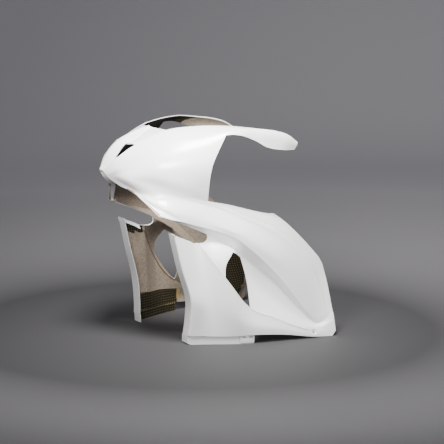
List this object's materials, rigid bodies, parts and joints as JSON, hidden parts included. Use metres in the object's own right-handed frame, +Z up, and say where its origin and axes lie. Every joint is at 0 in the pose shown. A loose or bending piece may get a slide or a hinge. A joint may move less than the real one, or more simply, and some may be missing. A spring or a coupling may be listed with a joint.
{
  "type": "motorcycle fairing",
  "caption": "Moulded race fairing for a motorcycle: nose with intakes and lamp recesses, side arms, slotted and vented side panels and joggled feet in one shell.",
  "frame": {"origin": "centre of the footprint, on the floor", "axes": "-X toward the nose, -Y toward the motorcycle's left side, +Z up"},
  "size_m": [0.718, 0.632, 0.7095],
  "materials": {
    "shell": "white gelcoat outside, raw beige laminate inside",
    "cloth": "resin-wetted black weave with yellow tracer threads"
  },
  "bodies": {
    "root": {"fairing_shell": "shell", "nose_cloth_left": "cloth", "nose_cloth_right": "cloth", "foot_cloth_left": "cloth", "foot_cloth_right": "cloth", "rear_cloth_left": "cloth", "rear_cloth_right": "cloth"}
  },
  "joints": []
}
